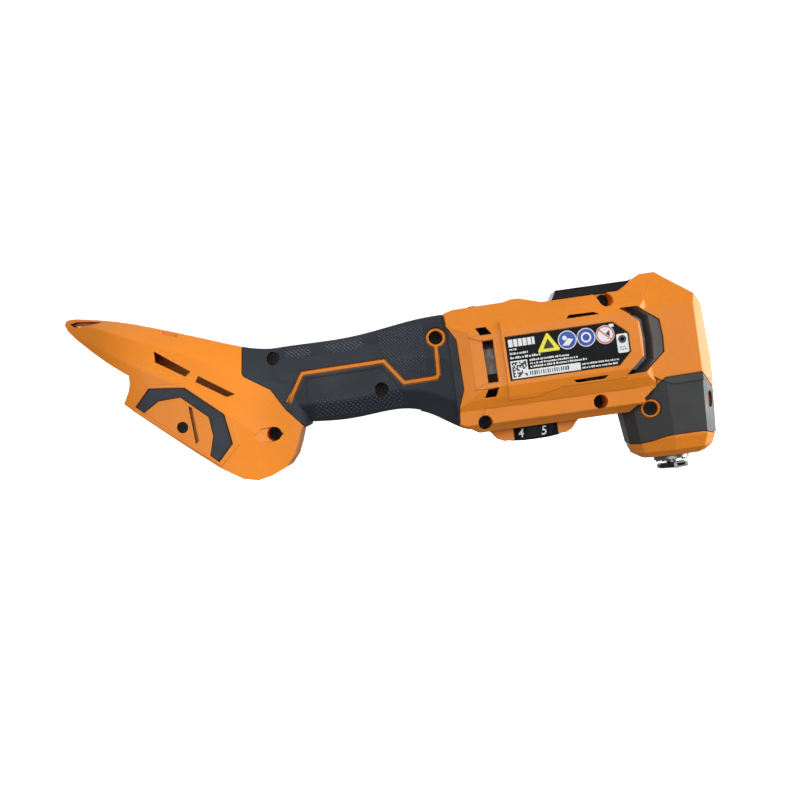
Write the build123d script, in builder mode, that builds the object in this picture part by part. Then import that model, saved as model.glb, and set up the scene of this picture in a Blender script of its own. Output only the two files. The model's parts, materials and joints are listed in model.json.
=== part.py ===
"""Cordless oscillating multi-tool, bare (no battery), modelled in millimetres.

Frame: the spindle axis is Z and the accessory seat is at z = 0. The body runs back along -X, +X is the
front of the head, and -Y is the right-hand side, where the housing screws go in.
"""

import os
from math import cos, radians, sin

from build123d import *

# ---------------------------------------------------------------- driving dimensions
motor_z = 64.6  # height of the motor axis above the accessory seat
wall = 3.6  # housing wall
skin = 1.6  # soft overmould on top of the housing
seam = 0.4  # gap round the edge of each overmould
line_width, channel_width = 1.7, 3.0  # the line that shows through the grip, and the gap it lies in

body_half = 31.0  # half width of the motor body
head_half = 27.8
foot_half = 37.0

body_rear, body_front = -112.0, -8.0
head_top, head_bottom = 99.8, 2.5
grip_front = -102.0

pivot_z = 90.0  # release lever pivot
lever_half = 12.7
cam_r = 6.5
cam_x, cam_z = 1.72, 1.776  # cam centre from the pivot: 110 degrees of lever push the rod down 4 mm
rod_top = 84.95
stator_r = 22.3
stator_rear, stator_front = -95.0, -62.0
dial_x, dial_r = -71.6, 14.5
pocket_half, pocket_length = 31.0, 66.0
slope = radians(41.1)  # battery rails against the body axis
throw = 1.0  # eccentric throw
flange_r, pin_circle, pin_r, pin_count = 9.5, 15.0, 1.2, 8
first_digit = 286.0  # angle of the digit 5; the six digits are 50 degrees apart
gear_plate_screws = [(14.5, 78.5), (-14.5, 78.5), (14.5, 51.0), (-14.5, 51.0)]  # y, z
blade_rows = (-9.0, -3.0, 3.0, 9.0)

# through screws (x, z, depth of the head seat from the middle plane)
screw_seats = [
    (-204.8, 82.6, 4.0),
    (-149.8, 58.3, 4.5),
    (-118.0, 81.2, 5.0),
    (-98.5, 33.6, 8.0),
    (-37.7, 36.0, 5.0),
    (-27.5, 88.2, 6.0),
    (-208.4, 43.0, 6.0),
]
gear_screw = (-11.6, 28.8, 17.0)
foot_screw = (-253.2, 52.9)


def outline_face(points, inset=0.0):
    """Fills a closed outline in the active sketch, shrunk by inset."""
    with BuildLine(mode=Mode.PRIVATE) as edge:
        Polyline(*points, close=True)
    make_face(edge.line)
    if inset:
        offset(amount=-inset, kind=Kind.INTERSECTION)


def side_prism(points, half, inset=0.0, start=0.0):
    """Side-view outline (x, z) standing between start and half on both sides of the middle plane."""
    with BuildPart() as prism:
        with BuildSketch(Plane.XZ.offset(start)):
            outline_face(points, inset)
        extrude(amount=half - start)
        mirror(about=Plane.XZ)
    return prism.part


def one_side_prism(points, start, end, inset=0.0):
    """Side-view outline between two distances on the right-hand side only."""
    with BuildPart() as prism:
        with BuildSketch(Plane.XZ.offset(start)):
            outline_face(points, inset)
        extrude(amount=end - start)
    return prism.part


def crosswise(x, z, radius, start, end):
    """Round bar along Y; start and end are distances to the right of the middle plane."""
    with BuildPart() as bar:
        with BuildSketch(Plane.XZ.offset(start)):
            with Locations((x, z)):
                Circle(radius)
        extrude(amount=end - start)
    return bar.part


def along_x(radius, x0, x1, z=motor_z, y=0.0, bore=0.0):
    """Round bar or ring along X."""
    with BuildPart() as bar:
        with BuildSketch(Plane.YZ.offset(x0)):
            with Locations((y, z)):
                Circle(radius)
                if bore:
                    Circle(bore, mode=Mode.SUBTRACT)
        extrude(amount=x1 - x0)
    return bar.part


def along_z(radius, z0, z1, x=0.0, y=0.0, bore=0.0):
    """Round bar or ring along Z."""
    with BuildPart() as bar:
        with BuildSketch(Plane.XY.offset(z0)):
            with Locations((x, y)):
                Circle(radius)
                if bore:
                    Circle(bore, mode=Mode.SUBTRACT)
        extrude(amount=z1 - z0)
    return bar.part


def block(x0, x1, y0, y1, z0, z1):
    """Box between two corners."""
    with BuildPart() as box:
        with BuildSketch(Plane.XY.offset(z0)):
            with Locations(((x0 + x1) / 2, (y0 + y1) / 2)):
                Rectangle(x1 - x0, y1 - y0)
        extrude(amount=z1 - z0)
    return box.part


def mirrored(half_outline):
    """Closes a half outline, given from top to bottom at positive y, with its mirror image."""
    return half_outline + [(-y, z) for y, z in reversed(half_outline) if y > 0]


def on_left(shape):
    return mirror(shape, about=Plane.XZ)


# ---------------------------------------------------------------- outer form
def foot_form(inset=0.0):
    """Battery foot: a crowned loft that narrows to the nose at the rear and the heel at the front."""
    stations = [  # x, half width, shoulder height, crown height
        (-315.0, 5.0, 114.5, 118.0),
        (-306.0, 13.5, 109.0, 118.3),
        (-292.0, 27.0, 101.0, 115.4),
        (-276.0, 35.5, 91.0, 111.1),
        (-255.0, foot_half, 79.0, 103.9),
        (-237.0, 36.0, 66.0, 97.3),
        (-221.0, 31.5, 52.0, 91.5),
        (-207.0, 25.0, 42.0, 88.4),
        (-190.0, 12.0, 36.0, 84.0),
    ]
    outline = [
        (-279.4, 84.6),
        (-287.5, 90.8),
        (-297.9, 99.4),
        (-306.5, 107.0),
        (-311.6, 112.4),
        (-313.4, 116.2),
        (-312.4, 119.0),
        (-300.0, 122.0),
        (-180.0, 122.0),
        (-180.0, 47.6),
        (-187.5, 46.0),
        (-194.4, 43.8),
        (-197.0, 37.0),
        (-199.8, 30.4),
        (-204.7, 24.8),
        (-212.0, 21.7),
        (-219.0, 20.4),
        (-226.2, 22.3),
        (-237.3, 29.8),
        (-281.9, 68.9),
        (-278.4, 75.0),
        (-277.2, 79.0),
        (-277.2, 83.2),
    ]
    with BuildPart() as foot:
        for x, half, shoulder, crown in stations:
            half, crown = half - inset, crown - inset
            rise = crown - shoulder
            section = mirrored(
                [
                    (0.40 * half, crown),
                    (0.83 * half, shoulder + 0.60 * rise),
                    (half, shoulder - 0.10 * rise),
                    (half, 12.0),
                ]
            )
            with BuildSketch(Plane.YZ.offset(x)) as cut:
                with BuildLine():
                    Polyline(*section, close=True)
                make_face()
                fillet(cut.vertices().sort_by(Axis.Y)[2:], radius=0.12 * half)
        loft()
        add(side_prism(outline, 60, inset), mode=Mode.INTERSECT)
    return foot.part


def grip_form(inset=0.0):
    """Hand grip: rounded ten-sided sections, flaring into the motor body at the front."""
    stations = [  # x, half width, bottom, top
        (-226.0, 17.0, 50.0, 91.5),
        (-205.0, 17.5, 46.5, 88.4),
        (-188.0, 18.5, 45.8, 88.4),
        (-150.0, 18.5, 45.9, 90.0),
        (-134.0, 20.0, 45.0, 92.2),
        (-118.0, 24.5, 37.0, 93.4),
        (grip_front, 28.5, 31.0, 94.0),
    ]
    with BuildPart() as grip:
        for x, half, bottom, top in stations:
            half, bottom, top = half - inset, bottom + inset, top - inset
            height = top - bottom
            outline = mirrored(
                [
                    (0.40 * half, top),
                    (0.82 * half, top - 0.15 * height),
                    (half, bottom + 0.60 * height),
                    (0.90 * half, bottom + 0.22 * height),
                    (0.45 * half, bottom),
                ]
            )
            with BuildSketch(Plane.YZ.offset(x)) as section:
                with BuildLine():
                    Polyline(*outline, close=True)
                make_face()
                fillet(section.vertices(), radius=4.0)
        loft()
    return grip.part


def body_form(inset=0.0):
    """Motor body: a faceted section cut to the side and plan outlines."""
    section = mirrored(
        [
            (0.0, 104.0),
            (12.0, 104.0),
            (18.0, 95.0),
            (26.5, 86.5),
            (body_half, 80.0),
            (body_half, 51.0),
            (29.2, 45.5),
            (26.2, 40.5),
            (25.6, 33.0),
            (19.0, 28.4),
            (0.0, 10.0),
        ]
    )
    side = [
        (body_rear, 93.2),
        (-107.0, 94.5),
        (-96.0, 94.6),
        (-80.5, 94.8),
        (-76.0, 95.8),
        (-71.5, 95.7),
        (-67.5, 94.3),
        (-60.5, 92.0),
        (-12.0, 92.0),
        (body_front, 90.0),
        (body_front, 40.0),
        (-20.0, 28.4),
        (-102.0, 28.4),
        (body_rear, 34.8),
    ]
    plan = [
        (body_rear, 27.0),
        (-101.0, 30.4),
        (-90.0, body_half),
        (body_front - 6.0, body_half),
        (body_front, 27.0),
    ]
    with BuildPart() as body:
        with BuildSketch(Plane.YZ.offset(body_rear - 5)):
            outline_face(section, inset)
        extrude(amount=body_front - body_rear + 10)
        add(side_prism(side, 60, inset), mode=Mode.INTERSECT)
        with BuildSketch(Plane.XY):
            outline_face([*plan, *[(x, -y) for x, y in reversed(plan)]], inset)
        extrude(amount=120, mode=Mode.INTERSECT)
    return body.part


def head_plan(scale=1.0, shift=0.0):
    """Outline of the head seen from above, as (x, y)."""
    half = [(25.7, 9.0), (16.3, 27.0), (-3.0, 27.0), (-22.0, 18.5), (-27.0, 9.0)]
    outline = half + [(x, -y) for x, y in reversed(half)]
    return [(x * scale + shift, y * scale) for x, y in outline]


def head_form(inset=0.0):
    """Head: faceted upper part, tapering barrel below it and a dished bottom."""
    levels = [
        (58.0, 0.97, 0.0),
        (46.0, 1.0, 0.3),
        (12.0, 0.885, 1.2),
        (5.6, 0.79, 1.0),
        (head_bottom, 0.62, 1.2),
    ]
    with BuildPart() as barrel:
        for (z_top, scale_top, shift_top), (z_low, scale_low, shift_low) in zip(levels, levels[1:]):
            for z, scale, shift in ((z_top, scale_top, shift_top), (z_low, scale_low, shift_low)):
                with BuildSketch(Plane.XY.offset(z + (inset if z == head_bottom else 0))):
                    outline_face(head_plan(scale, shift), inset)
            loft(ruled=True)
    section = mirrored(
        [(0.0, 110.0), (9.0, 110.0), (16.0, 99.0), (head_half, 80.5), (head_half, 46.0), (26.9, 30.0)]
    )
    side = [
        (-34.0, 92.2),
        (-20.0, 92.2),
        (-15.5, 94.6),
        (-10.0, 98.2),
        (-6.5, head_top),
        (1.2, head_top),
        (5.6, 95.9),
        (22.9, 81.6),
        (23.8, 79.6),
        (26.0, 51.0),
        (25.2, 40.0),
        (0.0, 40.0),
        (-34.0, 60.0),
    ]
    with BuildPart() as upper:
        with BuildSketch(Plane.YZ.offset(-40)):
            outline_face(section, inset)
        extrude(amount=80)
        add(side_prism(side, 60, inset), mode=Mode.INTERSECT)
        front = [(26.1, 9.0), (16.3, head_half + 0.5), (-60.0, head_half + 0.5)]
        with BuildSketch(Plane.XY):
            outline_face([*front, *[(x, -y) for x, y in reversed(front)]], inset)
        extrude(amount=120, mode=Mode.INTERSECT)
        add(barrel.part)
    return upper.part


def envelope(inset=0.0):
    with BuildPart() as form:
        add(foot_form(inset))
        add(grip_form(inset))
        add(body_form(inset))
        add(head_form(inset))
    return form.part




dock = Plane(
    origin=(-277.4, 0, 84.6),
    x_dir=(cos(slope), 0, -sin(slope)),
    z_dir=(-sin(slope), 0, -cos(slope)),
)


def dock_block(t0, t1, y0, y1, d0, d1):
    """Box on the battery dock: t runs down the rails from the rear, d outwards from the dock's ceiling."""
    with BuildPart() as box:
        with BuildSketch(dock.offset(d0)):
            with Locations(((t0 + t1) / 2, (y0 + y1) / 2)):
                Rectangle(t1 - t0, y1 - y0)
        extrude(amount=d1 - d0)
    return box.part


# ---------------------------------------------------------------- side-view outlines
grip_region = [
    (-219.0, 100.0), (-220.4, 90.5), (-220.9, 76.3), (-219.9, 74.4), (-207.7, 66.1), (-201.4, 54.9),
    (-193.1, 44.7), (-192.0, 38.0), (-111.5, 26.0), (-111.5, 34.6), (-110.6, 43.3), (-107.2, 52.0),
    (-107.7, 78.1), (-112.0, 85.8), (-112.5, 100.0),
]  # fmt: skip
inlay_path = [
    (-199.4, 57.8), (-190.1, 72.4), (-146.8, 72.9), (-137.6, 60.1), (-120.6, 60.3), (-119.3, 61.9),
    (-118.5, 78.0),
]  # fmt: skip
grip_panel = [
    (-189.6, 57.0), (-188.4, 69.4), (-148.6, 69.8), (-139.4, 56.8), (-131.0, 46.0), (-127.0, 30.0),
    (-189.6, 30.0),
]  # fmt: skip
head_region = [
    (-36.0, 27.9), (-22.7, 28.2), (-17.0, 32.8), (-3.0, 44.1), (16.4, 44.4), (25.0, 35.3), (34.0, 35.3),
    (34.0, 11.0), (20.4, 11.2), (14.0, 13.3), (-2.3, 13.3), (-5.2, 13.0), (-12.9, 11.2),
    (-18.7, 10.6), (-36.0, 11.5),
]  # fmt: skip
bumper_outer = [
    (-275.8, 66.6), (-267.7, 75.1), (-249.3, 73.0), (-231.3, 56.7), (-229.0, 41.1), (-237.0, 32.6),
]  # fmt: skip
bumper_inner = [
    (-241.2, 36.6), (-238.4, 46.3), (-239.4, 56.2), (-252.1, 68.2), (-263.5, 67.8), (-272.0, 62.8),
]  # fmt: skip
bumper_rim = [
    (-277.6, 65.0), (-267.9, 76.9), (-248.9, 75.0), (-228.3, 57.4), (-225.8, 40.6), (-236.3, 30.6),
]  # fmt: skip
foot_slots = [
    [(-263.3, 93.8), (-245.8, 80.9), (-248.6, 78.6), (-263.3, 88.1)],
    [(-242.2, 78.1), (-225.1, 66.2), (-229.3, 65.3), (-244.1, 75.2)],
]
foot_groove = [(-248.8, 63.3), (-247.1, 62.2), (-245.8, 44.9), (-247.7, 43.6)]
heel_scoop = [(-218.4, 42.6), (-215.0, 46.4), (-208.5, 46.8), (-203.4, 42.4), (-208.0, 39.2), (-214.0, 39.0)]
heel_pad = [(-220.5, 42.0), (-216.0, 49.0), (-206.0, 49.0), (-200.5, 42.0), (-207.0, 36.8), (-214.6, 36.6)]
lever_notch = [(-33.6, 92.7), (-30.9, 87.8), (-25.0, 90.0), (-26.2, 92.7)]
slot_web = [(-267.0, 106.4), (-267.0, 86.0), (-222.5, 60.0), (-222.5, 90.2), (-240.0, 96.6)]
nose_recess = [
    (-310.0, 115.9), (-307.4, 113.6), (-302.0, 113.2), (-296.5, 113.6), (-291.5, 114.0),
    (-299.0, 115.6), (-306.5, 116.6),
]  # fmt: skip
windows = [
    [(-97.5, 82.7), (-92.0, 82.7), (-89.4, 78.7), (-95.4, 78.7)],
    [(-94.9, 75.4), (-89.2, 75.4), (-89.2, 53.7), (-94.5, 53.7)],
    [(-95.1, 50.3), (-89.4, 50.7), (-91.3, 46.2), (-97.3, 46.2)],
    [(-50.4, 81.0), (-48.5, 82.8), (-35.6, 82.6), (-32.7, 81.1)],
    [(-50.9, 49.1), (-49.0, 47.5), (-34.6, 47.6), (-32.4, 49.3)],
]
window_ribs = [
    [(-102.0, 78.5), (-89.0, 78.4), (-89.0, 75.8), (-96.0, 75.7)],
    [(-102.0, 50.7), (-89.0, 50.9), (-89.0, 53.3), (-96.0, 53.4)],
]
raised_panel = [
    (-84.8, 84.6), (-23.5, 84.6), (-13.6, 75.6), (-12.8, 65.4), (-13.6, 56.0), (-24.0, 46.4), (-57.5, 46.4),
    (-69.0, 43.2), (-84.8, 43.2),
]  # fmt: skip
rail_pad = [(-100.0, 36.0), (-97.5, 40.2), (-16.6, 40.2), (-14.0, 31.6), (-94.0, 31.6)]
plate_outline = [(-83.2, 76.1), (-26.8, 76.3), (-19.3, 69.5), (-19.3, 59.6), (-26.1, 53.2), (-83.2, 53.0)]
vent_edge = [
    (-40.0, 82.7), (-22.3, 82.7), (-12.9, 74.4), (-12.3, 65.4),
    (-12.9, 56.8), (-22.8, 48.0), (-40.0, 48.0),
]  # fmt: skip
vent_outer = [
    (-21.0, 82.9), (-12.8, 82.7), (-1.8, 74.3), (-1.1, 65.4),
    (-1.5, 57.3), (-12.4, 48.2), (-22.2, 47.9),
]  # fmt: skip
vent_outline = vent_outer + vent_edge[5:0:-1]
lever_slot = [
    (-58.0, 92.35), (-16.4, 92.35), (-11.0, 81.0), (8.0, 81.0),
    (11.2, 86.0), (11.2, 106.0), (-58.0, 106.0),
]  # fmt: skip
lobes = [
    [(-99.5, 31.0), (-94.0, 26.6), (-91.6, 23.2), (-89.0, 22.0), (-80.0, 21.6), (-80.0, 31.0)],
    [(-64.0, 31.0), (-64.0, 22.0), (-55.5, 22.1), (-52.4, 23.5), (-48.5, 28.0), (-45.0, 31.0)],
]


# ---------------------------------------------------------------- housing and what is moulded over it
def inlay(width):
    """The housing-coloured line that shows through the grip, its end ring and the ring on the head."""
    with BuildPart() as strip:
        with BuildSketch(Plane.XZ) as lines:
            with BuildLine():
                Polyline(*inlay_path)
            trace(line_width=width)
            with Locations((-118.0, 81.2)):
                Circle(width / 2 + 4.05)
            with Locations(gear_screw[:2]):
                Circle(width / 2 + 3.75)
        extrude(amount=60, both=True)
    return strip.part


def screw_holes(head_r):
    """Everything the housing screws pass through, counterbored from the right."""
    with BuildPart() as holes:
        for x, z, seat in [*screw_seats, gear_screw]:
            add(crosswise(x, z, head_r, seat, 60))
            add(crosswise(x, z, 1.95, seat - 16.6, seat))
    return holes.part


def inner_structure(outer):
    """Screw bosses, motor cradles, lever well and dock walls, trimmed to the outer form."""
    with BuildPart() as inside:
        for x, z, _ in screw_seats:
            add(crosswise(x, z, 5.4, 0, 60))
            add(crosswise(x, z, 4.3, -60, 0))
        add(crosswise(gear_screw[0], gear_screw[1], 5.4, 14.8, 60))
        add(crosswise(0, pivot_z, 5.6, 13.5, 60))
        add(crosswise(0, pivot_z, 5.6, -60, -13.5))
        add(block(-19, 14, -15.6, 15.6, 78.8, 104))
        add(side_prism(heel_pad, 60, start=16))
        add(side_prism(slot_web, 1.2))
        add(front_sockets(5.6, 6.0))
        for x in (-84.0, -64.6):
            add(block(x, x + 2.4, -40, 40, 25, 100))
        add(block(-105, -83.5, -10, 10, 91.0, 93))
        add(dock_block(-4, pocket_length + 3.2, -pocket_half - 3, pocket_half + 3, -3, 20))
        add(outer, mode=Mode.INTERSECT)
        add(along_x(stator_r + 0.1, -90, -60), mode=Mode.SUBTRACT)
        add(block(-86, -61, -27.2, 27.2, motor_z - 7, motor_z + 7), mode=Mode.SUBTRACT)
    return inside.part


def front_sockets(radius, depth, outwards=10.0):
    """Round sockets in the two front chamfers of the head, for a side handle."""
    with BuildPart() as sockets:
        for sign in (-1, 1):
            face = Plane(origin=(21.7, sign * 15.6, 29.3), z_dir=(0.885, sign * 0.466, 0))
            with BuildSketch(face.offset(-depth)):
                Circle(radius)
            extrude(amount=depth + outwards)
    return sockets.part


def openings():
    """Every window, slot and pocket cut through the wall."""
    with BuildPart() as cuts:
        for points in windows:
            add(side_prism(points, 60, start=20))
        for points in foot_slots:
            add(side_prism(points, 60, start=14))
        add(side_prism(foot_groove, 60, start=32.8))
        add(heel_ramp())
        add(inlay_groove())
        add(side_prism(lever_notch, 60, start=12.9))
        add(front_sockets(4.0, 4.6))
        add(side_prism(nose_recess, 60, start=1.4))
        add(side_prism(vent_outline, 60, start=20.2))
        add(side_prism(lever_slot, 13))
        add(block(-260.5, -252.8, 15.2, 19.2, 94, 112))
        add(block(-260.5, -252.8, -19.2, -15.2, 94, 112))
        add(dock_block(-2.5, pocket_length, -pocket_half, pocket_half, 0, 40))
        add(dock_block(37.8, 62.2, -15.2, 15.2, -4, 1))
        add(crosswise(0, pivot_z, 2.55, -18.3, 18.3))
        add(along_z(4.5, 74, 84))
        add(along_z(8.25, 0, 9))
        add(along_z(dial_r + 0.6, 15, 28.9, x=dial_x))
        add(along_z(3.3, 28, 34, x=dial_x))
        add(block(-103.2, -85.6, -7.8, 7.8, 92.2, 97))
        add(block(-100.2, -88.6, -2.4, 2.4, 89, 93))
        add(crosswise(foot_screw[0], foot_screw[1], 2.9, 33.0, 60))
        add(crosswise(foot_screw[0], foot_screw[1], 2.9, -60, -33.0))
        add(crosswise(foot_screw[0], foot_screw[1], 1.55, -34, 34))
    return cuts.part


def raised_detail():
    """Rim round the foot bumper, and the panel, pad and ribs on the motor body."""
    with BuildPart() as rim:
        add(side_prism(bumper_rim, 60, start=20))
        add(side_prism(bumper_outer, 60, start=20), mode=Mode.SUBTRACT)
        add(foot_form(-0.7), mode=Mode.INTERSECT)
    with BuildPart() as pads:
        for points in [raised_panel, rail_pad, *window_ribs]:
            add(side_prism(points, 60, start=20))
        add(body_form(-0.6), mode=Mode.INTERSECT)
    with BuildPart() as detail:
        add(rim.part)
        add(pads.part)
    return detail.part


def half_of(shape, right):
    """Keeps one side of the middle plane."""
    with BuildPart() as half:
        add(shape)
        split(bisect_by=Plane.XZ, keep=Keep.TOP if right else Keep.BOTTOM)
    return half.part


def grip_recess():
    """The lower part of the grip sits a little deeper inside the inlay line."""
    with BuildPart() as recess:
        add(side_prism(grip_panel, 60))
        add(grip_form(0.6), mode=Mode.SUBTRACT)
    return recess.part


def inlay_groove():
    """Keeps the inlay line a little below the face of the grip."""
    with BuildPart() as groove:
        add(inlay(line_width))
        add(block(-230, -112.6, -60, 60, 0, 120), mode=Mode.INTERSECT)
        add(grip_form(0.5), mode=Mode.SUBTRACT)
    return groove.part


def heel_ramp():
    """Screw access at the heel: a ramp that sinks towards the front."""
    plan = [(-219.5, 31.0), (-205.5, 20.0), (-203.0, 20.0), (-203.0, 45.0), (-219.5, 45.0)]
    with BuildPart() as ramp:
        with BuildSketch(Plane.XY.offset(38)):
            outline_face(plan)
            outline_face([(x, -y) for x, y in reversed(plan)])
        extrude(amount=10)
        add(side_prism(heel_scoop, 60, start=15), mode=Mode.INTERSECT)
    return ramp.part


def vent_scoop():
    """Exhaust insert: two ramps that climb from the gap beside the panel to the outer edge."""
    with BuildPart() as scoop:
        with BuildSketch(Plane.XZ.offset(20.6)):
            outline_face(vent_outline, 0.25)
        extrude(amount=20)
        for start, grow, climb, taper in ((20.6, 3.0, 4.6, -24.0), (25.2, 5.0, 7.0, -42.0)):
            with BuildSketch(Plane.XZ.offset(start)):
                outline_face(vent_edge, -grow)
            extrude(amount=climb, taper=taper, mode=Mode.SUBTRACT)
    return scoop.part


# ---------------------------------------------------------------- release lever and clamp
def lever():
    """Ribbed lever with two hubs and a cam between them, lying along the top of the body."""
    arm = [(-54.0, 92.7), (-51.4, 97.5), (-12.0, 97.5), (-5.0, 97.2), (0.0, 97.2), (0.0, 92.7)]
    with BuildPart() as body:
        add(side_prism(arm, lever_half))
        chamfer(body.edges().filter_by(Axis.X).group_by(Axis.Z)[-1], length=0.9)
        add(crosswise(0, pivot_z, 7.2, -lever_half, lever_half))
        add(crosswise(0, pivot_z, 8.0, -6.2, 6.2), mode=Mode.SUBTRACT)
        add(crosswise(cam_x, pivot_z + cam_z, cam_r, -6.2, 6.2))
        add(side_prism([(-20.0, 93.6), (-4.5, 93.6), (-4.5, 97.2), (-20.0, 97.5)], 6.2))
        for index in range(19):
            x = -50.2 + 2.1 * index
            add(block(x, x + 0.9, -10.5, 10.5, 97.0, 99.0), mode=Mode.SUBTRACT)
        add(block(-46, -14, -9.5, 9.5, 92.0, 94.6), mode=Mode.SUBTRACT)
        add(crosswise(0, pivot_z, 2.6, -20, 20), mode=Mode.SUBTRACT)
    return body.part


def clamp_rod():
    """Rod down the hollow spindle: cam head, spring collar and threaded foot."""
    with BuildPart() as rod:
        add(along_z(3.0, -2.05, 72))
        add(along_z(4.9, 70, 72))
        add(along_z(3.2, 72, 80.4))
        add(along_z(4.0, 80.4, rod_top))
        chamfer(rod.edges().group_by(Axis.Z)[-1], length=0.6)
    return rod.part


def clamp_foot():
    """Block that pulls the accessory up against the flange, with a hooked rear end."""
    with BuildPart() as foot:
        with BuildSketch(Plane.XZ):
            outline_face([(-7.4, -2.15), (7.0, -2.15), (6.6, -4.7), (2.0, -5.1), (-7.8, -4.5)])
        extrude(amount=4.2, both=True)
        chamfer(foot.edges().filter_by(Axis.Y), length=0.35)
    return foot.part


def clamp_arms():
    """Steel stirrup on each side of the clamp block, that takes its pull."""
    outer = [(-0.2, -2.15), (7.4, -2.15), (7.4, -4.9), (0.6, -5.3), (-0.2, -4.6)]
    inner = [(1.3, -2.8), (5.9, -2.8), (5.9, -4.1), (1.5, -4.4)]
    with BuildPart() as arms:
        add(side_prism(outer, 4.8, start=4.25))
        add(side_prism(inner, 6.0, start=4.0), mode=Mode.SUBTRACT)
    return arms.part


def clamp_spring():
    """Compression spring round the rod, ten turns."""
    radius, wire = 4.15, 0.5
    with BuildPart() as coil:
        with BuildLine():
            path = Helix(pitch=4.87, height=48.7, radius=radius, center=(0, 0, 20.65))
        with BuildSketch(Plane(origin=path @ 0, z_dir=path % 0)):
            Circle(wire)
        sweep()
    return coil.part


def output_flange():
    """Accessory seat with eight drive pins on a circle."""
    with BuildPart() as flange:
        add(along_z(flange_r, 0, 2.2))
        chamfer(flange.edges().group_by(Axis.Z)[-1], length=0.5)
        with BuildSketch(Plane.XY.offset(-1.0)):
            with PolarLocations(pin_circle / 2, pin_count):
                Circle(pin_r)
        extrude(amount=1.2)
        add(along_z(3.4, -2, 4), mode=Mode.SUBTRACT)
    return flange.part


def spindle():
    """Hollow spindle: narrow bore at the bottom, wide spring bore above."""
    with BuildPart() as tube:
        add(along_z(7.0, 2.2, 75.2))
        add(along_z(3.3, 2, 20), mode=Mode.SUBTRACT)
        add(along_z(5.2, 20, 80), mode=Mode.SUBTRACT)
    return tube.part


def fork():
    """Yoke clamped on the spindle whose two prongs straddle the eccentric bearing."""
    with BuildPart() as yoke:
        add(along_z(11.0, 57, 69.5))
        add(block(-22, -6, -6, 6, 59, 69.5))
        add(block(-22, -18, -12.8, 12.8, 59, 70.5))
        for y0, y1 in ((8.7, 12.8), (-12.8, -8.7)):
            add(block(-33.8, -18, y0, y1, 59, 70.5))
        add(along_z(7.0, 50, 75), mode=Mode.SUBTRACT)
    return yoke.part


# ---------------------------------------------------------------- motor
def stator_core():
    """Laminated ring with nine inward teeth and a mounting lug on each side."""
    with BuildPart() as core:
        with BuildSketch(Plane.YZ.offset(stator_rear)):
            with Locations((0, motor_z)):
                Circle(stator_r)
                Rectangle(52.8, 13.0)
                Circle(19.8, mode=Mode.SUBTRACT)
                with PolarLocations(16.5, 9):
                    Rectangle(7.2, 3.2)
                with PolarLocations(13.5, 9):
                    Rectangle(1.6, 6.0)
                Circle(12.6, mode=Mode.SUBTRACT)
        extrude(amount=stator_front - stator_rear)
    return core.part


def stator_windings():
    """Nine coils, one round each tooth, standing out at both ends of the core."""
    with BuildPart() as coils:
        with BuildSketch(Plane.YZ.offset(stator_rear - 3.2)):
            with Locations((0, motor_z)):
                with PolarLocations(16.8, 9):
                    Rectangle(4.7, 8.2)
        extrude(amount=stator_front - stator_rear + 6.2)
        with BuildSketch(Plane.YZ.offset(stator_rear - 0.05)):
            with Locations((0, motor_z)):
                with PolarLocations(16.95, 9):
                    Rectangle(6.0, 3.3)
        extrude(amount=stator_front - stator_rear + 0.1, mode=Mode.SUBTRACT)
    return coils.part


def cooling_fan():
    with BuildPart() as fan:
        add(along_x(21.0, -57.2, -56.0, bore=3.0))
        add(along_x(6.0, -57.2, -51.0, bore=3.0))
        with BuildSketch(Plane.YZ.offset(-56.0)):
            with Locations((0, motor_z)):
                with PolarLocations(13.4, 13):
                    Rectangle(14.8, 1.1, rotation=18)
        extrude(amount=5.0)
        add(along_x(21.0, -58, -50), mode=Mode.INTERSECT)
        add(along_x(3.0, -58, -50), mode=Mode.SUBTRACT)
    return fan.part


def motor_shaft():
    """Shaft with the eccentric journal that drives the fork."""
    with BuildPart() as shaft:
        add(along_x(3.0, -106.0, -34.0))
        add(along_x(4.5, -34.0, -24.6, z=motor_z + throw))
    return shaft.part


def rotor():
    with BuildPart() as magnets:
        add(along_x(11.8, -93.0, -64.0, bore=3.0))
        chamfer(magnets.edges().filter_by(GeomType.CIRCLE).group_by(SortBy.RADIUS)[-1], length=0.6)
    return magnets.part


def counterweight():
    with BuildPart() as weight:
        with BuildSketch(Plane.YZ.offset(-41.0)):
            with Locations((0, motor_z)):
                Circle(10.5)
                with Locations((0, 9.2)):
                    Rectangle(30, 10, mode=Mode.SUBTRACT)
                Circle(3.0, mode=Mode.SUBTRACT)
        extrude(amount=5.0)
    return weight.part


def rear_bell():
    """Rear motor plate with its bearing seat."""
    with BuildPart() as bell:
        add(along_x(21.4, -106.5, -104.8, bore=3.6))
        add(along_x(21.4, -104.8, -98.6, bore=20.2))
        add(along_x(10.0, -105.0, -100.0, bore=8.0))
        for angle in range(0, 360, 60):
            with BuildSketch(Plane.YZ.offset(-104.9)):
                with Locations((0, motor_z)):
                    with PolarLocations(15.2, 1, start_angle=angle):
                        Rectangle(10.8, 2.0)
            extrude(amount=4.0)
    return bell.part


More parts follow.
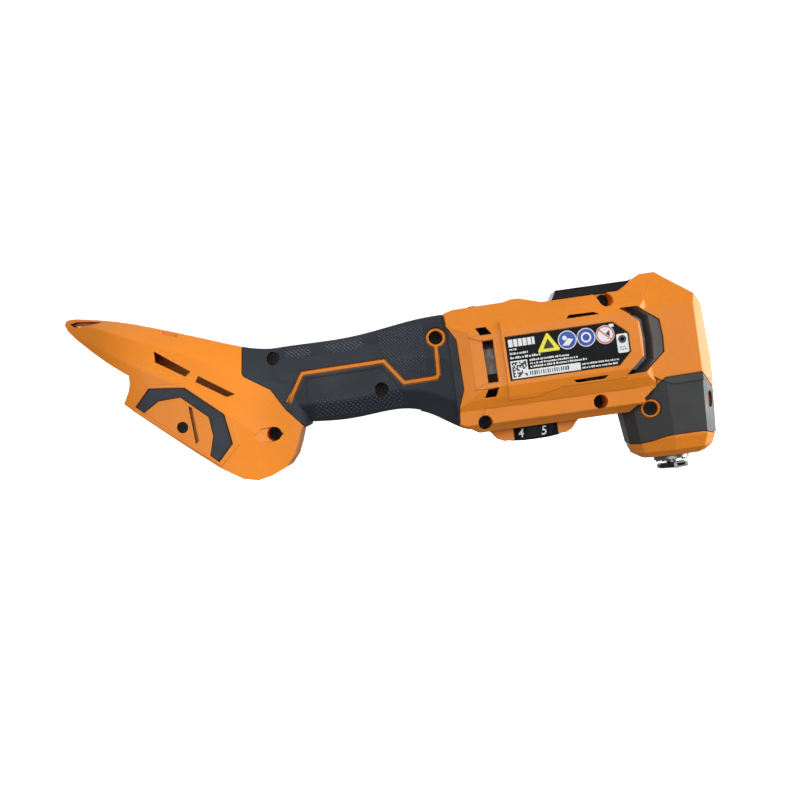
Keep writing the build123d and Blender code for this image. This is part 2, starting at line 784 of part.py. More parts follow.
def gear_housing():
    """Cast frame from the front motor plate to the two spindle bearing towers."""
    with BuildPart() as frame:
        add(along_x(23.5, -48.5, -43.5))
        for y0, y1 in ((17.0, 20.0), (-20.0, -17.0)):
            add(block(-44.0, 8.0, y0, y1, 50.0, 78.4))
        add(block(-12, 12, -20, 20, 71.0, 78.4))
        add(along_z(15.4, 9.5, 30))
        add(block(-44.0, -32.0, -1.5, 1.5, 42.5, 54.0))
        for y0, y1 in ((14.2, 17.2), (-17.2, -14.2)):
            add(block(-5.6, 8, y0, y1, 24.0, 54.0))
        for y0, y1 in ((14.2, 20.0), (-20.0, -14.2)):
            add(block(-10, 8, y0, y1, 48.0, 54.0))
        add(block(-15.5, -6.7, -14.6, -9.0, 24.0, 33.5))
        add(along_x(11.0, -50, -43), mode=Mode.SUBTRACT)
        add(along_z(12.0, 9, 31), mode=Mode.SUBTRACT)
        add(along_z(10.5, 70, 75.4), mode=Mode.SUBTRACT)
        add(along_z(5.3, 75, 80), mode=Mode.SUBTRACT)
        add(crosswise(gear_screw[0], gear_screw[1], 1.95, 0, 30), mode=Mode.SUBTRACT)
        for y, z in gear_plate_screws:
            add(along_x(1.45, -50, -36, y=y, z=z), mode=Mode.SUBTRACT)
    return frame.part


def pan_screws():
    """Four short screws that clamp the motor plate to the cast frame."""
    with BuildPart() as screws:
        for y, z in gear_plate_screws:
            add(along_x(1.4, -48.6, -40.0, y=y, z=z))
            add(along_x(2.6, -50.4, -48.5, y=y, z=z))
    return screws.part


def housing_screws():
    """Pan-head screws from the right, with a six-lobed recess drawn as a hexagon."""
    with BuildPart() as screws:
        for x, z, seat in [*screw_seats, gear_screw]:
            add(crosswise(x, z, 3.3, seat + 0.02, seat + 2.6))
            add(crosswise(x, z, 1.85, seat - 16.0, seat + 0.1))
            with BuildSketch(Plane.XZ.offset(seat + 1.2)):
                with Locations((x, z)):
                    RegularPolygon(1.5, 6)
            extrude(amount=2.0, mode=Mode.SUBTRACT)
    return screws.part


def foot_screws():
    x, z = foot_screw
    with BuildPart() as screws:
        for sign in (1, -1):
            low, high = sorted((sign * 33.1, sign * 34.6))
            add(crosswise(x, z, 2.7, low, high))
            low, high = sorted((sign * 29.2, sign * 33.2))
            add(crosswise(x, z, 1.45, low, high))
            with BuildSketch(Plane.XZ.offset(sign * 34.0)):
                with Locations((x, z)):
                    RegularPolygon(1.2, 6)
            extrude(amount=sign * 1.0, mode=Mode.SUBTRACT)
    return screws.part


# ---------------------------------------------------------------- battery dock and electrics
def rail(sign):
    """Folded steel rail that the battery slides on, one each side of the dock."""
    x, z = foot_screw
    with BuildPart() as strip:
        low, high = sorted((sign * 29.9, sign * 30.95))
        add(dock_block(9, 56, low, high, 3.0, 14.4))
        low, high = sorted((sign * 26.8, sign * 30.95))
        add(dock_block(9, 56, low, high, 12.4, 14.4))
        add(crosswise(x, z, 1.5, -40, 40), mode=Mode.SUBTRACT)
    return strip.part


def terminal_block():
    with BuildPart() as terminals:
        add(dock_block(38, 62, -15, 15, -6.0, 3.0))
    return terminals.part


def terminal_blades():
    with BuildPart() as blades:
        for y in blade_rows:
            add(dock_block(40, 56, y - 0.4, y + 0.4, 3.0, 10.5))
    return blades.part


def speed_dial():
    """Knurled wheel with six flats for the digits and a slightly domed face."""
    with BuildPart() as wheel:
        with BuildSketch(Plane.XZ) as profile:
            rim = [(dial_r - 1.2, 21.3), (dial_r, 22.4), (dial_r, 28.2)]
            outline_face([(0, 20.6), (9.0, 20.8)] + rim + [(0, 28.2)])
        revolve(axis=Axis.Z)
        for step in range(72):
            angle = 5.0 * step
            nearest = min(abs((angle - first_digit + 180) % 360 - 180 - 50 * n) for n in range(-4, 2))
            if nearest > 9:
                with BuildSketch(Plane.XY.offset(20)):
                    with PolarLocations(dial_r + 0.15, 1, start_angle=angle):
                        Rectangle(1.1, 0.65)
                extrude(amount=9, mode=Mode.SUBTRACT)
        with BuildSketch(Plane.XY.offset(28.1)):
            Circle(3.0)
        extrude(amount=10.4)
    return Pos(dial_x, 0, 0) * wheel.part


def dial_pot():
    with BuildPart() as pot:
        add(block(dial_x - 8, dial_x + 6.7, -9, 9, 32.3, 38.8))
        add(along_z(3.3, 30, 40, x=dial_x), mode=Mode.SUBTRACT)
    return pot.part


def power_slide():
    """Slide switch button on top, with its stem and the link back to the switch."""
    with BuildPart() as button:
        add(block(-102.6, -93.0, -7.4, 7.4, 92.5, 94.2))
        add(block(-98.2, -94.2, -6.4, 6.4, 94.0, 95.7))
        for x in (-101.6, -100.2):
            add(block(x, x + 0.7, -6.0, 6.0, 93.8, 95.0), mode=Mode.SUBTRACT)
        add(block(-99.8, -96.0, -2.0, 2.0, 88.0, 92.6))
    return button.part


def slide_link():
    with BuildPart() as link:
        add(block(-133.0, -96.0, -2.0, 2.0, 86.9, 87.95))
        add(block(-133.0, -131.0, -2.0, 2.0, 80.0, 87.0))
    return link.part


def switch_module():
    with BuildPart() as module:
        add(block(-141, -124, -7, 7, 70.2, 79.3))
        for y in (-4.5, 0.0, 4.5):
            add(block(-144, -141, y - 1.2, y + 1.2, 72.0, 73.0))
    return module.part


def control_board():
    with BuildPart() as board:
        add(block(-198, -143, -12.5, 12.5, 67.6, 69.2))
        for index in range(6):
            x = -193 + 7.4 * index
            add(block(x, x + 5.2, -11.5, -5.5, 69.2, 71.6))
        add(block(-188, -176, 2, 10, 69.2, 70.6))
    return board.part


def heatsink():
    with BuildPart() as fins:
        add(block(-196, -156, -11.5, 11.5, 65.6, 67.6))
        for index in range(8):
            y = -11.0 + 3.0 * index
            add(block(-196, -156, y, y + 1.2, 62.2, 65.7))
    return fins.part


def capacitors():
    with BuildPart() as cans:
        for y in (-1.0, 8.0):
            add(along_x(3.9, -172, -154, z=73.2, y=y))
    return cans.part


def cable(points, radius):
    with BuildPart() as wire:
        with BuildLine():
            path = Spline(*points)
        with BuildSketch(Plane(origin=path @ 0, z_dir=path % 0)):
            Circle(radius)
        sweep()
    return wire.part


def motor_leads():
    with BuildPart() as leads:
        for y in (-4.0, 0.0, 4.0):
            route = [(-143.4, y, 66.0), (-134.0, y, 62.0), (-120.0, 1.6 * y, 56.0), (-107.2, 2.0 * y, 56.0)]
            add(cable(route, 1.1))
    return leads.part


def battery_leads():
    with BuildPart() as leads:
        for y in (-6.0, 6.0):
            add(cable([(-236.5, y, 58.0), (-230.0, y, 64.0), (-215.0, y, 66.5), (-198.6, y, 68.4)], 1.3))
    return leads.part


def rating_plate():
    return one_side_prism(plate_outline, 30.95, 31.35, 0.3)


def dust_seal():
    return along_z(8.2, 3.2, 6.0, bore=7.15)


# ---------------------------------------------------------------- build and export
def skin_over(points, inner, start=0.0):
    """Outermost layer of the form inside one side-view region, down to the inner form."""
    with BuildPart() as layer:
        add(outer)
        add(side_prism(points, 60, start=start), mode=Mode.INTERSECT)
        add(inner, mode=Mode.SUBTRACT)
    return layer.part


def overmould(layer, points, recess=None):
    """Soft cover made from a layer, with a seam round its edge, clear of the inlay line and screw holes."""
    with BuildPart() as cover:
        add(layer)
        add(side_prism(points, 60, seam), mode=Mode.INTERSECT)
        add(inlay(channel_width), mode=Mode.SUBTRACT)
        add(screw_holes(3.6), mode=Mode.SUBTRACT)
        add(front_sockets(4.5, 6.0), mode=Mode.SUBTRACT)
        if recess:
            add(recess, mode=Mode.SUBTRACT)
    return cover.part


def housing_shell(covers):
    """Both housing halves in one, before the split."""
    with BuildPart() as cut:
        for cover in covers:
            add(cover)
        add(inlay(line_width), mode=Mode.SUBTRACT)
        add(screw_holes(3.7))
        add(openings())
    with BuildPart() as shell:
        add(outer)
        for points in lobes:
            add(side_prism(points, 9.5))
        add(raised_detail())
        add(hollow, mode=Mode.SUBTRACT)
        add(inner_structure(outer))
        add(cut.part, mode=Mode.SUBTRACT)
    return shell.part


def save(label, shape):
    shape.label = label
    export_step(shape, f"parts/{label}.step")


os.makedirs("parts", exist_ok=True)
outer = envelope()
base = envelope(skin)
hollow = envelope(wall)
bumper = bumper_outer + bumper_inner
grip_layer = skin_over(grip_region, base)
head_layer = skin_over(head_region, base)
bumper_layer = skin_over(bumper, base, 33.2)
shell = housing_shell([grip_layer, head_layer, bumper_layer])

halves = {
    "housing": shell,
    "grip_overmould": overmould(grip_layer, grip_region, grip_recess()),
    "head_overmould": overmould(head_layer, head_region),
    "foot_bumper": overmould(bumper_layer, bumper),
}
for kind, whole in halves.items():
    right, left = half_of(whole, True), half_of(whole, False)
    if kind == "housing":
        right = right - one_side_prism(plate_outline, 30.95, 40)
    save(f"right_{kind}", right)
    save(f"left_{kind}", left)

with BuildPart() as right_scoop:
    add(vent_scoop())
    add(base, mode=Mode.INTERSECT)
save("right_vent_scoop", right_scoop.part)
save("left_vent_scoop", on_left(right_scoop.part))

save("rating_plate", rating_plate())
save("release_lever", lever())
save("lever_pin", crosswise(0, pivot_z, 2.5, -18.0, 18.0))
save("clamp_rod", clamp_rod())
save("clamp_foot", clamp_foot())
save("clamp_arms", clamp_arms())
save("clamp_spring", clamp_spring())
save("output_flange", output_flange())
save("spindle", spindle())
save("spindle_fork", fork())
save("upper_spindle_bearing", along_z(10.5, 71.0, 75.4, bore=7.05))
save("lower_spindle_bearing", along_z(12.0, 10.0, 17.0, bore=7.05))
save("dust_seal", dust_seal())
save("gear_housing", gear_housing())
save("gear_plate_screws", pan_screws())
save("eccentric_bearing", along_x(6.5, -33.5, -25.5, z=motor_z + throw, bore=4.5))
save("counterweight", counterweight())
save("motor_shaft", motor_shaft())
save("rotor", rotor())
save("stator_core", stator_core())
save("stator_windings", stator_windings())
save("rear_bell", rear_bell())
save("rear_motor_bearing", along_x(8.0, -104.6, -100.2, bore=3.05))
save("front_motor_bearing", along_x(11.0, -48.4, -43.6, bore=3.05))
save("cooling_fan", cooling_fan())
save("speed_dial", speed_dial())
save("dial_potentiometer", dial_pot())
save("power_slide", power_slide())
save("slide_link", slide_link())
save("switch_module", switch_module())
save("control_board", control_board())
save("board_heatsink", heatsink())
save("board_capacitors", capacitors())
save("motor_leads", motor_leads())
save("battery_leads", battery_leads())
save("terminal_block", terminal_block())
save("terminal_blades", terminal_blades())
save("right_rail", rail(1))
save("left_rail", rail(-1))
save("housing_screws", housing_screws())
save("foot_screws", foot_screws())
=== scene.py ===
"""Cordless oscillating multi-tool: materials, moulded and printed detail, lights and camera.

Everything is in metres in the row frame. Outlines marked mm are drawn as seen from the right-hand side,
with x and z in millimetres of the row frame.
"""

import json
import math
import random

import bmesh
import bpy
from mathutils import Matrix, Vector
from mathutils.bvhtree import BVHTree


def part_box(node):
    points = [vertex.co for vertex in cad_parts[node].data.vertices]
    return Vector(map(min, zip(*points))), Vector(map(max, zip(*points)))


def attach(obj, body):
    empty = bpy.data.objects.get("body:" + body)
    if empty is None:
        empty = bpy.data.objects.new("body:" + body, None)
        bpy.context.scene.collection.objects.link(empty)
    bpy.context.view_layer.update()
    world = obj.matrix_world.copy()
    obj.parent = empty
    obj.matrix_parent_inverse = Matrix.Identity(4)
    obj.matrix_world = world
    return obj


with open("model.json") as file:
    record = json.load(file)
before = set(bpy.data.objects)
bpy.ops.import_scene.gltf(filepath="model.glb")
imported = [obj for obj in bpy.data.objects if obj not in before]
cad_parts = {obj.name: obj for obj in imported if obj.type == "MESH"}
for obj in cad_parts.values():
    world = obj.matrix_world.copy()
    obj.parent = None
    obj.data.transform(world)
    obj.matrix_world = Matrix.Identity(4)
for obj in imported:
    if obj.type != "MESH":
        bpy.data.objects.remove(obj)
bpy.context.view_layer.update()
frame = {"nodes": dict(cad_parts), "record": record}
nodes = frame["nodes"]
MM = 0.001

# Camera: 0.7 m to the right of the tool's middle, turned a little about its own line of sight
camera_place = (-0.141, -0.700, 0.0514)
camera_roll = math.radians(-8.0)
camera_lens, camera_sensor = 58.3, 36.0  # millimetres

# Studio: what the lights point at, and how bright the surroundings are
middle = (-0.14, 0, 0.06)
head_middle = (0.0, 0, 0.05)
world_strength = 0.28
floor_tone, floor_glow, floor_gap = 0.94, 0.85, 0.0004


# ---------------------------------------------------------------- materials
class Shader:
    """Wires one node material, starting from the object's own coordinates."""

    def __init__(self, name):
        self.mat = bpy.data.materials.new(name)
        self.mat.use_nodes = True
        self.tree = self.mat.node_tree
        self.bsdf = self.tree.nodes["Principled BSDF"]
        self.coords = self.node("ShaderNodeTexCoord").outputs["Object"]

    def node(self, kind, **sockets):
        made = self.tree.nodes.new(kind)
        for key, value in sockets.items():
            made.inputs[key.replace("_", " ")].default_value = value
        return made

    def link(self, a, b):
        self.tree.links.new(a, b)

    def noise(self, scale, detail=3.0, rough=0.55, stretch=None):
        made = self.node("ShaderNodeTexNoise", Scale=scale, Detail=detail, Roughness=rough)
        if stretch:
            mapping = self.node("ShaderNodeMapping")
            mapping.inputs["Scale"].default_value = stretch
            self.link(self.coords, mapping.inputs["Vector"])
            self.link(mapping.outputs["Vector"], made.inputs["Vector"])
        else:
            self.link(self.coords, made.inputs["Vector"])
        return made.outputs["Fac"]

    def ramp(self, value, stops):
        made = self.node("ShaderNodeValToRGB")
        elements = made.color_ramp.elements
        while len(elements) < len(stops):
            elements.new(0.5)
        for element, (place, colour) in zip(elements, stops):
            element.position = place
            grey = (colour, colour, colour)
            element.color = (*(colour if isinstance(colour, tuple) else grey), 1)
        self.link(value, made.inputs["Fac"])
        return made.outputs["Color"]

    def mix(self, factor, a, b, blend="MIX"):
        made = self.node("ShaderNodeMix")
        made.data_type = "RGBA"
        made.blend_type = blend
        colour_a, colour_b = made.inputs[6], made.inputs[7]
        for value, socket in ((factor, made.inputs["Factor"]), (a, colour_a), (b, colour_b)):
            if isinstance(value, bpy.types.NodeSocket):
                self.link(value, socket)
            elif isinstance(value, tuple):
                socket.default_value = (*value, 1)
            else:
                socket.default_value = value
        return made.outputs[2]

    def edges(self, radius, sharp=0.12):
        """0 on flats, 1 along outer edges, and the rounded normal it came from."""
        bevel = self.node("ShaderNodeBevel", Radius=radius)
        bevel.samples = 6
        geometry = self.node("ShaderNodeNewGeometry")
        dot = self.node("ShaderNodeVectorMath")
        dot.operation = "DOT_PRODUCT"
        self.link(bevel.outputs["Normal"], dot.inputs[0])
        self.link(geometry.outputs["Normal"], dot.inputs[1])
        return self.ramp(dot.outputs["Value"], [(1 - sharp, 1.0), (1.0, 0.0)]), bevel.outputs["Normal"]

    def grime(self, reach):
        """Painted shade: 1 in the open, darker in seams and tight corners where less light reaches."""
        shade = self.node("ShaderNodeAmbientOcclusion", Distance=reach)
        shade.samples = 6
        return self.ramp(shade.outputs["AO"], [(0.15, 0.42), (0.8, 1.0)])

    def bump(self, height, strength, distance, normal=None):
        made = self.node("ShaderNodeBump", Strength=strength, Distance=distance)
        self.link(height, made.inputs["Height"])
        if normal:
            self.link(normal, made.inputs["Normal"])
        return made.outputs["Normal"]


def moulded(
    name, colour, rough, tone=0.08, grain=1500.0, depth=0.00005, bevel=0.0006, worn=None, specular=0.5
):
    """Moulded plastic or rubber: fine grain, drifting tone and gloss, softened edges lightened by rubbed
    wear and a painted highlight, and painted shade in seams and corners.

    tone is how far the colour drifts, grain the fineness of the surface, depth its height and bevel the edge
    radius, both in metres; worn is the colour along the edges, standing for rubbed wear with a painted
    highlight.
    """
    s = Shader(name)
    drift = s.noise(22.0, 4.0)
    fine = s.noise(grain, 2.0, 0.6)
    low = tuple(c * (1 - tone) for c in colour)
    high = tuple(min(1.0, c * (1 + tone)) for c in colour)
    base = s.ramp(drift, [(0.3, low), (0.7, high)])
    speck = s.ramp(fine, [(0.3, 0.93), (0.7, 1.05)])
    base = s.mix(1.0, base, speck, "MULTIPLY")
    edge, rounded = s.edges(bevel)
    # edge colour: rubbed wear plus a painted highlight along the edges, broken up by noise
    edge_wear_and_highlight = worn or tuple(min(1.0, c * 1.25 + 0.01) for c in colour)
    patchy_edge_wear_and_highlight = s.mix(1.0, edge, s.ramp(s.noise(160.0), [(0.35, 0.15), (0.65, 0.75)]), "MULTIPLY")
    unshaded_colour = s.mix(patchy_edge_wear_and_highlight, base, edge_wear_and_highlight)
    # painted shade: ambient occlusion darkens the base colour in seams and corners
    s.link(s.mix(1.0, unshaded_colour, s.grime(0.003), "MULTIPLY"), s.bsdf.inputs["Base Color"])
    gloss = s.ramp(s.noise(65.0, 5.0), [(0.3, rough - 0.06), (0.7, rough + 0.07)])
    s.link(gloss, s.bsdf.inputs["Roughness"])
    s.link(s.bump(fine, 0.35, depth, rounded), s.bsdf.inputs["Normal"])
    s.bsdf.inputs["Specular IOR Level"].default_value = specular
    return s.mat


def metal(
    name, colour, rough, brushed=None, bevel=0.0003, tone=0.12, metallic=1.0, specular=0.5
):
    """Machined or cast metal: brushed or mottled, with a painted highlight along its edges."""
    s = Shader(name)
    drift = s.noise(60.0, 5.0)
    lines = s.noise(900.0, 3.0, 0.6, brushed) if brushed else s.noise(900.0, 3.0)
    base = s.ramp(drift, [(0.3, tuple(c * (1 - tone) for c in colour)), (0.7, colour)])
    base = s.mix(1.0, base, s.ramp(lines, [(0.3, 0.86), (0.7, 1.0)]), "MULTIPLY")
    edge, rounded = s.edges(bevel, 0.2)
    edge_highlight_colour = tuple(min(1.0, c * 1.35) for c in colour)
    # base colour lightened along the edges: a painted highlight
    s.link(s.mix(s.ramp(edge, [(0.0, 0.0), (1.0, 0.5)]), base, edge_highlight_colour), s.bsdf.inputs["Base Color"])
    s.link(s.ramp(lines, [(0.3, rough - 0.06), (0.7, rough + 0.1)]), s.bsdf.inputs["Roughness"])
    s.link(s.bump(lines, 0.3, 0.00003, rounded), s.bsdf.inputs["Normal"])
    s.bsdf.inputs["Metallic"].default_value = metallic
    s.bsdf.inputs["Specular IOR Level"].default_value = specular
    return s.mat


def winding(name):
    """Enamelled copper wire laid side by side."""
    s = Shader(name)
    wave = s.node("ShaderNodeTexWave", Scale=420.0, Distortion=0.6)
    wave.bands_direction = "Z"
    s.link(s.coords, wave.inputs["Vector"])
    enamel = s.ramp(wave.outputs["Fac"], [(0.1, (0.22, 0.07, 0.02)), (0.7, (0.75, 0.33, 0.13))])
    s.link(enamel, s.bsdf.inputs["Base Color"])
    s.link(s.ramp(s.noise(300.0), [(0.3, 0.25), (0.7, 0.4)]), s.bsdf.inputs["Roughness"])
    s.link(s.bump(wave.outputs["Fac"], 0.8, 0.0003), s.bsdf.inputs["Normal"])
    s.bsdf.inputs["Metallic"].default_value = 0.8
    return s.mat


def laminated(name):
    """Stacked sheet steel, seen as fine lines across the motor axis."""
    s = Shader(name)
    wave = s.node("ShaderNodeTexWave", Scale=520.0, Distortion=0.3)
    wave.bands_direction = "X"
    s.link(s.coords, wave.inputs["Vector"])
    tone = s.ramp(wave.outputs["Fac"], [(0.2, (0.055, 0.045, 0.040)), (0.8, (0.16, 0.13, 0.115))])
    patches = s.ramp(s.noise(240.0), [(0.3, 0.75), (0.7, 1.1)])
    s.link(s.mix(1.0, tone, patches, "MULTIPLY"), s.bsdf.inputs["Base Color"])
    s.link(s.ramp(s.noise(500.0), [(0.3, 0.35), (0.7, 0.55)]), s.bsdf.inputs["Roughness"])
    s.link(s.bump(wave.outputs["Fac"], 0.5, 0.0001), s.bsdf.inputs["Normal"])
    s.bsdf.inputs["Metallic"].default_value = 0.75
    return s.mat


orange = (0.79, 0.232, 0.012)
looks = {
    "housing_plastic": moulded(
        "orange_plastic", orange, 0.46,
        # worn: orange edge colour for rubbed wear and a painted highlight along the edges
        tone=0.05, grain=1700.0, bevel=0.0007, worn=(0.88, 0.34, 0.07), specular=0.32,
    ),
    "soft_grip": moulded(
        "slate_rubber", (0.017, 0.022, 0.032), 0.58,
        tone=0.12, grain=1300.0, depth=0.00012, bevel=0.0005, specular=0.4,
    ),
    "head_cover": moulded(
        "blasted_grey", (0.030, 0.031, 0.031), 0.5,
        tone=0.14, grain=1000.0, depth=0.00022, bevel=0.0005, specular=0.45,
    ),
    "vent_plastic": moulded(
        "vent_grey", (0.055, 0.057, 0.056), 0.5,
        tone=0.1, grain=1000.0, depth=0.00012, bevel=0.0004, specular=0.7,
    ),
    "plate_film": moulded(
        "plate_black", (0.006, 0.007, 0.008), 0.5,
        tone=0.1, grain=2600.0, depth=0.00001, bevel=0.0002, specular=0.09,
    ),
    "black_plastic": moulded(
        "black_plastic", (0.006, 0.007, 0.010), 0.40,
        # worn: lighter edge colour for rubbed wear and a painted highlight along the edges
        tone=0.12, bevel=0.0004, worn=(0.03, 0.033, 0.04), specular=0.1,
    ),
    "steel": metal("ground_steel", (0.21, 0.21, 0.215), 0.34, brushed=(1, 1, 8)),
    "dark_steel": metal(
        "black_oxide", (0.008, 0.008, 0.009), 0.45, bevel=0.0002, metallic=0.5, specular=0.15
    ),
    "bearing_steel": metal("bearing_steel", (0.72, 0.72, 0.74), 0.16, brushed=(8, 1, 1)),
    "cast_alloy": metal("cast_alloy", (0.13, 0.13, 0.135), 0.5),
    "lamination": laminated("stator_laminations"),
    "copper": winding("copper_windings"),
    "contact_metal": metal("contact_metal", (0.78, 0.66, 0.42), 0.28, brushed=(1, 6, 1)),
    "board": moulded(
        "solder_mask", (0.012, 0.07, 0.03), 0.3,
        tone=0.2, grain=2200.0, depth=0.00004, bevel=0.0002,
    ),
    "capacitor_can": moulded(
        "capacitor_sleeve", (0.02, 0.022, 0.03), 0.35,
        tone=0.1, depth=0.00003, bevel=0.0003,
    ),
    "wire_red": moulded(
        "red_insulation", (0.42, 0.02, 0.015), 0.42,
        tone=0.1, depth=0.00003, bevel=0.0002,
    ),
    "wire_black": moulded(
        "black_insulation", (0.015, 0.015, 0.016), 0.45,
        tone=0.1, depth=0.00003, bevel=0.0002,
    ),
    "seal_rubber": moulded(
        "seal_rubber", (0.012, 0.012, 0.012), 0.65,
        tone=0.1, grain=1200.0, depth=0.00006, bevel=0.0003,
    ),
}
# dial plastic whose lighter rib edges are rubbed wear plus a painted highlight
dial_wear_and_highlight = moulded(
    "dial_wear_and_highlight", (0.006, 0.007, 0.009), 0.42,
    tone=0.12, depth=0.00004, bevel=0.0003, worn=(0.05, 0.05, 0.055), specular=0.1,
)
slots = {row["node"]: row["material_slot"] for row in frame["record"]["subparts"]}
for name, obj in nodes.items():
    obj.data.materials.clear()
    obj.data.materials.append(dial_wear_and_highlight if name == "speed_dial" else looks[slots[name]])


# ---------------------------------------------------------------- small tools for the added pieces
def piece(name, mesh_or_bm, material, body="tool", smooth=False):
    """Makes an object from a mesh or bmesh, gives it a material and lets it ride on a CAD body."""
    if isinstance(mesh_or_bm, bmesh.types.BMesh):
        mesh = bpy.data.meshes.new(name)
        mesh_or_bm.to_mesh(mesh)
        mesh_or_bm.free()
    else:
        mesh = mesh_or_bm
        mesh.name = name
    for polygon in mesh.polygons:
        polygon.use_smooth = smooth
    mesh.materials.clear()
    mesh.materials.append(material)
    obj = bpy.data.objects.new(name, mesh)
    bpy.context.scene.collection.objects.link(obj)
    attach(obj, body)
    return obj


def tree_of(node):
    """Search tree of one CAD node's mesh, for finding its surface along a ray."""
    mesh = nodes[node].data
    points = [v.co.copy() for v in mesh.vertices]
    return BVHTree.FromPolygons(points, [tuple(p.vertices) for p in mesh.polygons])


def inside(x, z, polygon):
    """Whether a point lies within an outline, by counting the sides to its right."""
    hit = False
    for (x0, z0), (x1, z1) in zip(polygon, polygon[1:] + polygon[:1]):
        if (z0 > z) != (z1 > z) and x < (x1 - x0) * (z - z0) / (z1 - z0) + x0:
            hit = not hit
    return hit


def edge_gap(x, z, polygon):
    """Distance in mm from a point to the nearest side of an outline."""
    best = math.inf
    point = Vector((x, z))
    for a, b in zip(polygon, polygon[1:] + polygon[:1]):
        a, b = Vector(a), Vector(b)
        share = max(0.0, min(1.0, (point - a).dot(b - a) / (b - a).length_squared))
        best = min(best, (point - (a + share * (b - a))).length)
    return best


def stud(bm, place, normal, along, across, height):
    """One low faceted stud: six-sided foot sunk a little into the surface, smaller raised top."""
    sunk = 0.00005
    side = normal.cross(Vector((1, 0, 0))).normalized()
    front = side.cross(normal).normalized()
    rings = []
    for share, lift in ((1.0, -sunk), (0.72, height * 0.7), (0.3, height)):
        ring = []
        for step in range(6):
            angle = math.pi * step / 3
            offset = front * (math.cos(angle) * along * share) + side * (math.sin(angle) * across * share)
            ring.append(bm.verts.new(place + offset + normal * lift))
        rings.append(ring)
    for low, high in zip(rings, rings[1:]):
        for step in range(6):
            after = (step + 1) % 6
            bm.faces.new((low[step], low[after], high[after], high[step]))
    bm.faces.new(rings[-1])


rubbed_rubber = moulded(
    "rubbed_rubber", (0.066, 0.078, 0.100), 0.42,
    tone=0.15, grain=1300.0, bevel=0.0002,
)
# Rays start beside the tool and count only if they meet its near half, where it faces sideways enough
ray_start, near_half = 0.06, 0.058
least_sideways = 0.25


def stipple(name, node, polygons, side, pitch, size, margin=0.6, fade=0.0):
    """Staggered studs all over side-view outlines (mm), standing on the surface of one overmould.

    side is -1 for the right and 1 for the left, pitch the spacing along x and z, and size a stud's half
    length, half width and height. Studs keep margin away from the outline and shrink within fade of it.
    """
    pitch_x, pitch_z = pitch
    along, across, height = size
    hits = tree_of(node)
    bm = bmesh.new()
    for polygon in polygons:
        xs, zs = [p[0] for p in polygon], [p[1] for p in polygon]
        row = 0
        z = min(zs)
        while z < max(zs):
            x = min(xs) + (pitch_x / 2 if row % 2 else 0)
            while x < max(xs):
                if inside(x, z, polygon) and edge_gap(x, z, polygon) > margin:
                    start = Vector((x * MM, side * ray_start, z * MM))
                    place, normal, _, distance = hits.ray_cast(start, Vector((0, -side, 0)))
                    if place is not None and distance < near_half:
                        if normal.y * side < 0:
                            normal = -normal
                        if abs(normal.y) > least_sideways:
                            full = min(1.0, 0.55 + edge_gap(x, z, polygon) / fade) if fade else 1.0
                            stud(bm, place, normal, along * MM * full, across * MM * full, height * MM)
                x += pitch_x
            z += pitch_z
            row += 1
    bmesh.ops.recalc_face_normals(bm, faces=bm.faces)
    return piece(name, bm, rubbed_rubber)


# ---------------------------------------------------------------- grip texture
thumb_pad = [(-149.0, 88.6), (-123.4, 91.0), (-124.2, 64.2), (-137.0, 65.9), (-147.4, 77.3)]
lower_pad = [(-186.7, 56.8), (-183.8, 58.3), (-142.9, 58.3), (-138.1, 54.9), (-139.6, 47.8), (-186.7, 47.6)]
top_pads = [
    [(-199.0, 86.8), (-184.5, 86.9), (-184.0, 81.5), (-190.0, 80.0), (-198.5, 82.0)],
    [(-177.5, 86.9), (-156.5, 87.3), (-155.5, 82.0), (-162.0, 80.2), (-172.0, 80.2), (-177.0, 82.2)],
]
for tag, side in (("right", -1), ("left", 1)):
    cover = tag + "_grip_overmould"
    stipple(
        tag + "_thumb_texture", cover, [thumb_pad], side,
        pitch=(1.7, 0.92), size=(0.58, 0.54, 0.45),
    )
    stipple(
        tag + "_lower_texture", cover, [lower_pad], side,
        pitch=(2.6, 1.2), size=(0.58, 0.42, 0.42), margin=0.4,
    )
    stipple(
        tag + "_top_texture", cover, top_pads, side,
        pitch=(2.2, 1.05), size=(0.85, 0.6, 0.42), margin=0.3, fade=3.0,
    )


# ---------------------------------------------------------------- rating plate print, all of it generic
def ink(name, colour, rough=0.5):
    """Screen-printed ink, slightly patchy."""
    s = Shader(name)
    worn = s.ramp(s.noise(900.0, 4.0, 0.7), [(0.28, tuple(c * 0.72 for c in colour)), (0.45, colour)])
    s.link(worn, s.bsdf.inputs["Base Color"])
    s.link(s.ramp(s.noise(120.0), [(0.3, rough - 0.08), (0.7, rough + 0.1)]), s.bsdf.inputs["Roughness"])
    s.link(s.bump(s.noise(2600.0), 0.2, 0.00001), s.bsdf.inputs["Normal"])
    return s.mat


white_ink = ink("white_ink", (0.78, 0.79, 0.80))
yellow_ink = ink("yellow_ink", (0.85, 0.76, 0.02))
blue_ink = ink("blue_ink", (0.02, 0.075, 0.42))
red_ink = ink("red_ink", (0.60, 0.13, 0.13))
black_ink = ink("black_ink", (0.015, 0.015, 0.018))
plate_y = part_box("rating_plate")[0].y


